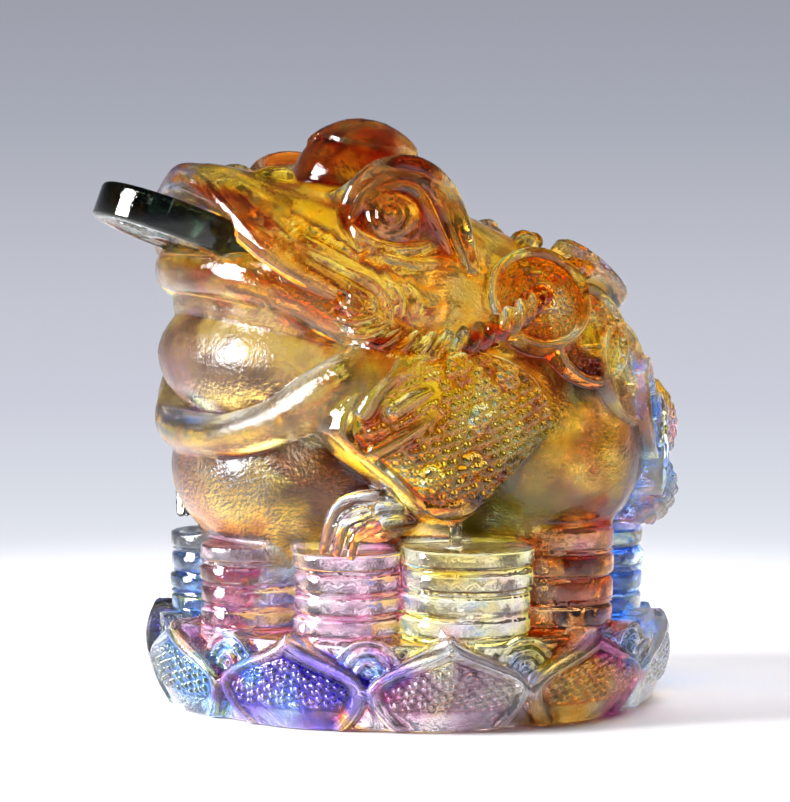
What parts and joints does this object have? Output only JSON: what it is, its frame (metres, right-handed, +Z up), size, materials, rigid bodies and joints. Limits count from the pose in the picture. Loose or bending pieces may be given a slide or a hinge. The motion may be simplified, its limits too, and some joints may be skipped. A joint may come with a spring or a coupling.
{
  "type": "money toad figure",
  "caption": "Cast coloured-glass toad with a coin in its mouth, seated on stacks of coins over a round lotus base.",
  "frame": {"origin": "centre of the base's flat underside", "axes": "+Z up, the toad faces -Y, and its left side is at +X"},
  "size_m": [0.0892, 0.1055, 0.0984],
  "materials": {
    "coloured_glass": "cast glass, amber above, clear, violet and blue below, glossy with a slightly hammered skin",
    "clear_glass": "clear cast glass, polished, with a dark edge"
  },
  "bodies": {
    "root": {"toad_casting": "coloured_glass", "mouth_coin": "clear_glass"}
  },
  "joints": []
}
